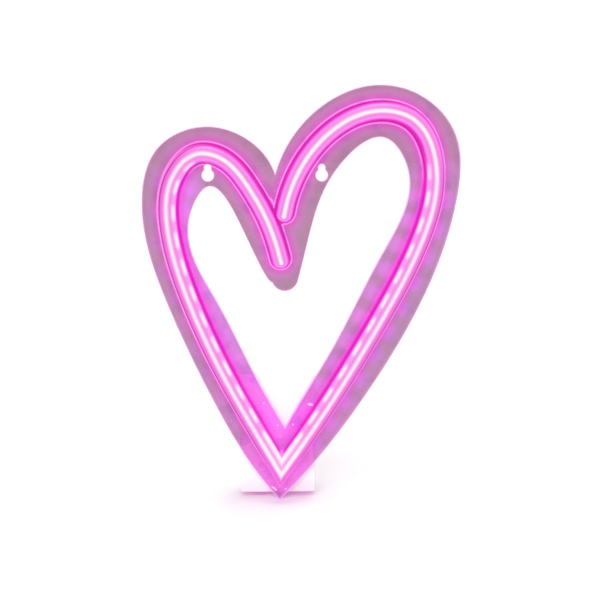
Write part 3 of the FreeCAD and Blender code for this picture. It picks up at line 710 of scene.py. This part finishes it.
# ---------------------------------------------------------------- Battery box
# The box is moulded in white ABS with a fine spark texture, rounded corners and thin walls.
# A sliding cover closes the cells in, and a lid held by two screws covers the control board.
# The glow from the heart's point tints its lowest centimetre.
white_plastic = finish("white_plastic", Roughness=0.46, Specular_IOR_Level=0.45)
tone = cloud(white_plastic, 14 * MM, 3.0)
white = blend(white_plastic, tone, paint(230, 228, 228), paint(240, 238, 238))
height = add(white_plastic, "SeparateXYZ", Vector=place_of(white_plastic)).outputs["Z"]
spill = add(white_plastic, "MapRange", {"interpolation_type": "SMOOTHSTEP"}, Value=height,
            From_Min=box_low.z + 12 * MM, From_Max=box_low.z).outputs[0]
to_shader(white_plastic, "Base Color", blend(white_plastic, spill, white, paint(232, 216, 227)))
grain(white_plastic, 0.35 * MM, 0.02 * MM, 0.7, 3.0)


def eased(name, node, material, body, slot, width, crease=30):
    """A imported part's own shape with its sharp edges eased, as a piece that stands for it."""
    bm = merged_copy(node)
    ease_edges(bm, width)
    piece(name, bm, material, body, slot, node, crease=crease)


eased("battery_box", "box_body", white_plastic, "sign", "white_box", 0.18 * MM, crease=28)
eased("board_lid", "bay_lid", white_plastic, "sign", "white_box", 0.15 * MM, crease=28)
eased("sliding_cover", "battery_cover", white_plastic, "cover", "white_box", 0.15 * MM, crease=28)

steel = finish("screw_steel", Metallic=1.0, Roughness=0.28)
mottle(steel, 0.8 * MM, (176, 178, 182), (206, 207, 210))
grain(steel, 0.3 * MM, 0.01 * MM, 0.5)
carry_over(steel, "screw_steel", "lid_screws")

# ---------------------------------------------------------------- Cells
# Three AAA cells lie side by side, turned head to tail, in printed plastic sleeves over steel cans.
# The sleeve is shrunk over the can's rolled ends; a round button stands up at the positive end.
sleeve = finish("cell_sleeve", Roughness=0.24, Coat_Weight=0.35)
can_metal = finish("cell_can", Metallic=1.0, Roughness=0.24)
mottle(can_metal, 1.5 * MM, (178, 180, 184), (212, 213, 214))
grain(can_metal, 0.4 * MM, 0.01 * MM, 0.4)
band = marked(sleeve, "band")
dark_sleeve = blend(sleeve, cloud(sleeve, 4 * MM), paint(34, 36, 42), paint(48, 50, 57))
gold_sleeve = blend(sleeve, cloud(sleeve, 4 * MM), paint(186, 134, 60), paint(206, 156, 82))
to_shader(sleeve, "Base Color", blend(sleeve, band, dark_sleeve, gold_sleeve))
grain(sleeve, 2 * MM, 0.01 * MM, 0.4)
button_height = 1.0 * MM
can_profile = (
    (0, 0), (0.62, 0), (0.66, 0.006), (0.86, 0.006), (0.97, 0.012), (1.0, 0.024), (1.0, 0.3), (1.0, 0.76),
    (1.0, 0.975), (0.985, 0.985), (0.93, 0.993), (0.86, 0.99), (0.8, 0.982), (0.42, 0.982))
button_profile = ((2.75, -0.7), (2.75, 0.8), (2.55, 1.0), (0, 1.0))
sleeve_low = 0.02
sleeve_high = 0.99
sleeve_inner = 0.83
gold_from = 0.76


def turned_on_a_lathe(bm, profile, axis, steps):
    """Spin a drawn profile once round an axis."""
    spots = [bm.verts.new(spot) for spot in profile]
    edges = [bm.edges.new((a, b)) for a, b in zip(spots, spots[1:])]
    bmesh.ops.spin(bm, geom=spots + edges, cent=(0, 0, 0), axis=axis, angle=2 * math.pi, steps=steps,
                   use_merge=True)
    bmesh.ops.remove_doubles(bm, verts=bm.verts, dist=0.002 * MM)
    bmesh.ops.recalc_face_normals(bm, faces=bm.faces)


for number in (1, 2, 3):
    low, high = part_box("cell_%d" % number)
    radius = (high.x - low.x) / 2
    middle = (low + high) / 2
    length = high.z - low.z
    can_length = length - button_height
    cell = bmesh.new()
    band_mark = cell.faces.layers.float.new("band")
    profile = [(r * radius, 0, z * can_length) for r, z in can_profile]
    profile += [(r * MM, 0, can_length + z * MM) for r, z in button_profile]
    turned_on_a_lathe(cell, profile, (0, 0, 1), 48)
    for face in cell.faces:
        centre = face.calc_center_median()
        across = math.hypot(centre.x, centre.y) / radius
        height = centre.z / can_length
        in_sleeve = sleeve_low < height < sleeve_high and across > sleeve_inner
        face.material_index = 0 if in_sleeve else 1
        face[band_mark] = 1.0 if height > gold_from else 0.0
    if number == 2:
        upside_down = Matrix.Rotation(math.pi, 3, "X")
        bmesh.ops.rotate(cell, verts=cell.verts, cent=(0, 0, 0), matrix=upside_down)
        bmesh.ops.translate(cell, verts=cell.verts, vec=(0, 0, length))
    bmesh.ops.translate(cell, verts=cell.verts, vec=(middle.x, middle.y, low.z))
    made = piece("battery_cell_%d" % number, cell, sleeve, "sign", "cell_jacket", "cell_%d" % number,
                 crease=25)
    made.data.materials.append(can_metal)

# ---------------------------------------------------------------- Springs and contact plates
# Cone springs of nickel-plated wire press on the cells' flat ends. The plates they sit on are
# stamped from nickel-plated steel and slide into the bay's end walls.
spring_wire = finish("nickel_wire", Metallic=1.0, Roughness=0.2)
mottle(spring_wire, 0.8 * MM, (188, 186, 180), (222, 220, 214))
grain(spring_wire, 0.3 * MM, 0.01 * MM, 0.3)
carry_over(spring_wire, "sprung_wire", "negative_spring_1", "negative_spring_2", "negative_spring_3")

stamped = finish("nickel_plate", Metallic=1.0)
brushed = add(stamped, "Mapping", Vector=place_of(stamped), Scale=(400, 6000, 6000))
brush_lines = add(stamped, "TexNoise", Vector=brushed.outputs[0], Scale=1.0, Detail=3.0).outputs["Fac"]
to_shader(stamped, "Base Color", blend(stamped, brush_lines, paint(190, 188, 180), paint(218, 216, 208)))
to_shader(stamped, "Roughness", sums(stamped, "MULTIPLY_ADD", brush_lines, 0.2, 0.18))
for node in ("contact_link_top", "contact_link_bottom", "contact_tab_top", "contact_tab_bottom"):
    eased(node + "_stamping", node, stamped, "sign", "contact_plate", 0.1 * MM)

# ---------------------------------------------------------------- Control board
# A green glass-fibre board with copper tracks under its varnish.
# It stands on two ribs, and the lid's screw pillars pass through its holes.
varnish = finish("green_varnish", Roughness=0.3, Coat_Weight=0.3)
turned = add(varnish, "Mapping", Vector=place_of(varnish), Rotation=(math.pi / 2, 0, 0))
tracks = add(varnish, "TexBrick", {"offset": 0.37, "squash": 1.6, "squash_frequency": 3},
             Vector=turned.outputs[0], Scale=1.0, Brick_Width=4.6 * MM, Row_Height=1.3 * MM,
             Mortar_Size=0.16 * MM, Mortar_Smooth=0.1)
green = blend(varnish, cloud(varnish, 3 * MM), paint(14, 84, 44), paint(20, 98, 54))
to_shader(varnish, "Base Color", blend(varnish, tracks.outputs["Fac"], green, paint(52, 134, 74)))
relief = add(varnish, "Bump", Strength=0.5, Distance=0.03 * MM, Height=tracks.outputs["Fac"])
to_shader(varnish, "Normal", relief.outputs[0])
eased("green_board", "control_board", varnish, "sign", "circuit_board", 0.1 * MM)

# ---------------------------------------------------------------- Chip, capacitor and small parts
# The driver is a black moulded chip on gull-wing legs, with a dimple at its first leg.
# Beside it stand a small can capacitor in a printed sleeve and a row of chip resistors.
eased("chip_body", "driver_chip", black_chip, "sign", "black_chip", 0.25 * MM)
low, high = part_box("driver_chip")
dimple_inset = 0.9 * MM
dimple = bmesh.new()
bmesh.ops.create_cone(dimple, cap_ends=True, segments=24, radius1=0.35 * MM, radius2=0.28 * MM,
                      depth=0.04 * MM)
bmesh.ops.rotate(dimple, verts=dimple.verts, cent=(0, 0, 0), matrix=Matrix.Rotation(-math.pi / 2, 3, "X"))
dimple_spot = Vector((low.x + dimple_inset, high.y, high.z - dimple_inset))
bmesh.ops.translate(dimple, verts=dimple.verts, vec=dimple_spot)
chip_mark = finish("chip_mark", Roughness=0.5)
mottle(chip_mark, 0.3 * MM, (70, 70, 74), (96, 96, 98))
piece("chip_dimple", dimple, chip_mark, "sign", "black_chip")
carry_over(solder, "solder", "chip_leads", "switch_terminals")
carry_over(black_chip, "black_chip", "board_resistors")

low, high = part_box("capacitor")
middle = (low + high) / 2
radius = (high.x - low.x) / 2
depth = high.y - low.y
can = bmesh.new()
shell_profile = (
    (0, 0), (0.9, 0), (1, 0.03), (1, 0.1), (0.95, 0.14), (1, 0.18), (1, 0.95), (0.93, 0.99), (0.82, 0.99),
    (0.8, 0.97), (0, 0.97))
bare_top = 0.965
bare_radius = 0.81
stripe_from = 0.72
turned_on_a_lathe(can, [(r * radius, z * depth, 0) for r, z in shell_profile], (0, 1, 0), 36)
for face in can.faces:
    centre = face.calc_center_median()
    bare = centre.y > bare_top * depth and math.hypot(centre.x, centre.z) < bare_radius * radius
    face.material_index = 1 if bare else 0
bmesh.ops.translate(can, verts=can.verts, vec=(middle.x, low.y, middle.z))
can_sleeve = finish("capacitor_sleeve", Roughness=0.3, Coat_Weight=0.3)
stripe = add(can_sleeve, "Mapping", Vector=place_of(can_sleeve), Location=tuple(-middle))
stripe = add(can_sleeve, "SeparateXYZ", Vector=stripe.outputs[0]).outputs["X"]
stripe = sums(can_sleeve, "LESS_THAN", stripe, -stripe_from * radius)
to_shader(can_sleeve, "Base Color", blend(can_sleeve, stripe, paint(24, 26, 30), paint(196, 198, 200)))
made = piece("capacitor_can", can, can_sleeve, "sign", "black_chip", "capacitor", crease=28)
made.data.materials.append(can_metal)

# ---------------------------------------------------------------- Power inlet
# The inlet is a folded steel shell with a black tongue and two rows of gold-plated contacts.
# Its mouth opens in the box's lower wall.
shell_metal = finish("inlet_shell", Metallic=1.0)
rub = cloud(shell_metal, 1.0 * MM, 3.0)
to_shader(shell_metal, "Base Color", blend(shell_metal, rub, paint(186, 187, 190), paint(216, 216, 218)))
to_shader(shell_metal, "Roughness", sums(shell_metal, "MULTIPLY_ADD", rub, 0.16, 0.18))
eased("inlet_steel", "inlet_shell", shell_metal, "sign", "inlet_metal", 0.06 * MM)
eased("inlet_tongue_moulding", "inlet_tongue", black_chip, "sign", "black_chip", 0.12 * MM)
gold = finish("gold_contact", Metallic=1.0, Roughness=0.2)
mottle(gold, 0.4 * MM, (222, 176, 84), (240, 200, 120))
carry_over(gold, "gold_pins", "inlet_pins")

# ---------------------------------------------------------------- Slide switch
# A small slide switch in a steel housing stands behind the box's lower wall.
# Its plain black lever comes out through a slot and slides sideways.
eased("switch_housing", "switch_body", shell_metal, "sign", "inlet_metal", 0.15 * MM)
eased("switch_knob", "switch_lever", black_chip, "switch", "black_chip", 0.12 * MM)

# ---------------------------------------------------------------- Stage, light and camera
# A pale floor just under the heart's point, an even white room and wide soft lights from above,
# the front and the back. The floor glows a little, as a light table does, so shadows stay faint.
room_light = 0.62
room_seen = 1.03
floor_half = 6.0
floor_gap = 0.2 * MM
camera_place = Vector((5.48, -580.2, 27.3)) * MM
camera_lens = 58.5
camera_pitch = math.radians(10.0046)
camera_turn = math.radians(1.5043)
scene.view_settings.view_transform = "Standard"
world = bpy.data.worlds.new("white_room")
world.use_nodes = True
sky = world.node_tree.nodes["Background"]
sky.inputs["Color"].default_value = (1, 1, 1, 1)
rays = world.node_tree.nodes.new("ShaderNodeLightPath")
strength = world.node_tree.nodes.new("ShaderNodeMapRange")
strength.inputs["To Min"].default_value = room_light
strength.inputs["To Max"].default_value = room_seen
world.node_tree.links.new(rays.outputs["Is Camera Ray"], strength.inputs["Value"])
world.node_tree.links.new(strength.outputs[0], sky.inputs["Strength"])
scene.world = world

floor = bmesh.new()
bmesh.ops.create_grid(floor, x_segments=2, y_segments=2, size=floor_half)
bmesh.ops.translate(floor, verts=floor.verts, vec=Vector((0, 0, cad_box[0].z - floor_gap)))
floor_mesh = bpy.data.meshes.new("floor")
floor.to_mesh(floor_mesh)
floor.free()
floor_object = bpy.data.objects.new("floor", floor_mesh)
scene.collection.objects.link(floor_object)
floor_white = finish("floor_white", Roughness=0.9, Specular_IOR_Level=0.0, Emission_Strength=1.0,
                     Emission_Color=(0.4, 0.06, 0.3, 1))
to_shader(floor_white, "Base Color", blend(floor_white, cloud(floor_white, 300 * MM),
                                           (0.438, 0.672, 0.505, 1), (0.446, 0.682, 0.515, 1)))
floor_mesh.materials.append(floor_white)


def soft_light(name, from_here, strength, spread):
    """A wide, distant light that shines from this direction towards the sign."""
    light = bpy.data.lights.new(name, "SUN")
    light.energy = strength
    light.angle = math.radians(spread)
    holder = bpy.data.objects.new(name, light)
    holder.location = Vector(from_here)
    holder.rotation_euler = (-Vector(from_here)).to_track_quat("-Z", "Y").to_euler()
    scene.collection.objects.link(holder)


soft_light("light_above", (0.05, -0.1, 1.0), 1.6, 30)
soft_light("light_front", (-0.25, -1.0, 0.8), 1.9, 40)
soft_light("light_back", (0.5, 1.0, 0.7), 0.9, 40)

camera_data = bpy.data.cameras.new("camera")
camera_data.lens = camera_lens
camera_data.sensor_width = 36.0
camera = bpy.data.objects.new("camera", camera_data)
camera.location = camera_place
level = math.cos(camera_pitch)
look = Vector((math.sin(camera_turn) * level, math.cos(camera_turn) * level, -math.sin(camera_pitch)))
camera.rotation_euler = look.to_track_quat("-Z", "Y").to_euler()
scene.collection.objects.link(camera)
scene.camera = camera
